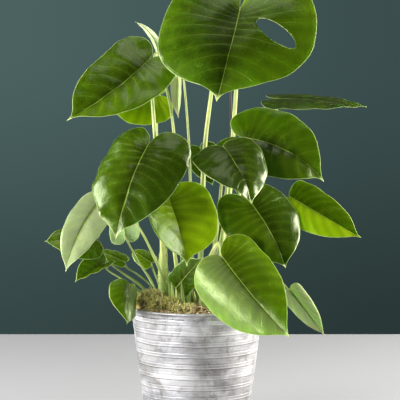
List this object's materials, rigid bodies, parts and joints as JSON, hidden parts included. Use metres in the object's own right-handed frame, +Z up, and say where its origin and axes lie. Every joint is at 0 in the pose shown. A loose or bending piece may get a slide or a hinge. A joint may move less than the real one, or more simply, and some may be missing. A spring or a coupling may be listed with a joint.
{
  "type": "potted monstera plant",
  "caption": "Young potted monstera with heart-shaped leaves on long stalks, growing from soil in a round tapered zinc pot that stands on its flat bottom.",
  "frame": {"origin": "centre of the pot's flat underside", "axes": "+Z up, -Y towards the viewer of the picture, +X to that viewer's right"},
  "size_m": [0.4091, 0.2553, 0.5789],
  "materials": {
    "zinc": "soft galvanised, lightly blotched",
    "potting_soil": "matte, crumbly, with moss and bark fibre",
    "stake": "dark, smooth",
    "stem": "satin green",
    "leaf": "glossy dark green above, paler and duller below",
    "young_leaf": "satin light green",
    "petiole": "satin pale yellow-green"
  },
  "bodies": {
    "root": {"pot": "zinc", "soil": "potting_soil", "stake": "stake", "stem_left": "stem", "stem_centre": "stem", "stem_right": "stem", "leaf_01": "leaf", "leaf_02": "leaf", "leaf_03": "young_leaf", "leaf_04": "leaf", "leaf_05": "young_leaf", "leaf_06": "leaf", "leaf_07": "leaf", "leaf_08": "leaf", "leaf_09": "leaf", "leaf_10": "leaf", "leaf_11": "leaf", "leaf_12": "leaf", "leaf_13": "leaf", "leaf_14": "young_leaf", "leaf_15": "leaf", "leaf_16": "leaf", "leaf_17": "leaf", "leaf_18": "young_leaf", "leaf_19": "leaf", "leaf_20": "young_leaf", "leaf_21": "leaf", "leaf_22": "young_leaf", "leaf_23": "leaf", "leaf_24": "leaf", "leaf_25": "leaf", "leaf_26": "leaf", "petiole_01": "petiole", "petiole_02": "petiole", "petiole_03": "petiole", "petiole_04": "petiole", "petiole_05": "petiole", "petiole_06": "petiole", "petiole_07": "petiole", "petiole_08": "petiole", "petiole_09": "petiole", "petiole_10": "petiole", "petiole_11": "petiole", "petiole_12": "petiole", "petiole_13": "petiole", "petiole_14": "petiole", "petiole_15": "petiole", "petiole_16": "petiole", "petiole_17": "petiole", "petiole_18": "petiole", "petiole_19": "petiole", "petiole_20": "petiole", "petiole_21": "petiole", "petiole_22": "petiole", "petiole_23": "petiole", "petiole_24": "petiole", "petiole_25": "petiole", "petiole_26": "petiole"}
  },
  "joints": []
}
